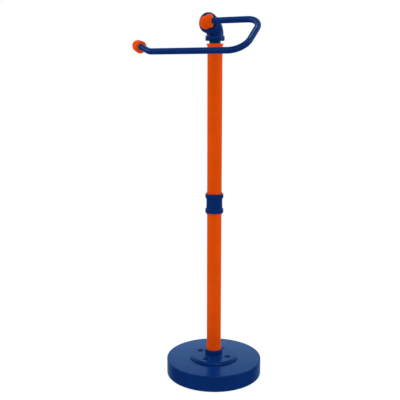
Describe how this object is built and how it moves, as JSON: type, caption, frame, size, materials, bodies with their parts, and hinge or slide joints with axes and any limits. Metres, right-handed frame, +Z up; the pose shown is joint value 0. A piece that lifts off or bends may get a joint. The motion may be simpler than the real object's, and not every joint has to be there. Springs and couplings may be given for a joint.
{
  "type": "free-standing roll holder",
  "caption": "Floor-standing roll holder: heavy round base, straight pole in two lengths, elbow head with a ball knob and a bent open-ended rod that a roll slides onto.",
  "frame": {"origin": "on the pole's axis, at the underside of the base, where it meets the floor", "axes": "+Z up along the pole; the rod's two runs lie along X, with the bend towards +X; the elbow's mouth faces -Y, which is the front"},
  "size_m": [0.2152, 0.188, 0.6354],
  "materials": {
    "navy_paint": "satin",
    "orange_paint": "satin",
    "steel": "zinc plated",
    "iron": "raw casting",
    "felt": "pressed felt"
  },
  "bodies": {
    "root": {"felt_pad": "felt", "base_weight": "iron", "base_shell": "navy_paint", "base_nut": "steel", "base_washer": "steel", "base_stud": "steel", "flange_plate": "navy_paint", "flange_screws": "navy_paint", "tube_socket": "navy_paint", "lower_plug": "steel", "foot_ring": "orange_paint", "lower_tube": "orange_paint", "lower_top_plug": "steel", "lower_stop_ring": "orange_paint", "coupling": "navy_paint", "coupling_stud": "steel", "upper_stop_ring": "orange_paint", "upper_plug": "steel", "upper_tube": "orange_paint", "upper_top_plug": "steel", "top_collar": "orange_paint", "neck_nipple": "navy_paint", "head_elbow": "navy_paint", "mouth_bushing": "navy_paint", "knob_stud": "steel", "ball_knob": "orange_paint", "rod_sleeve": "orange_paint", "set_screw": "steel", "bent_rod": "navy_paint", "tip_barrel": "orange_paint", "tip_ball": "orange_paint"}
  },
  "joints": []
}
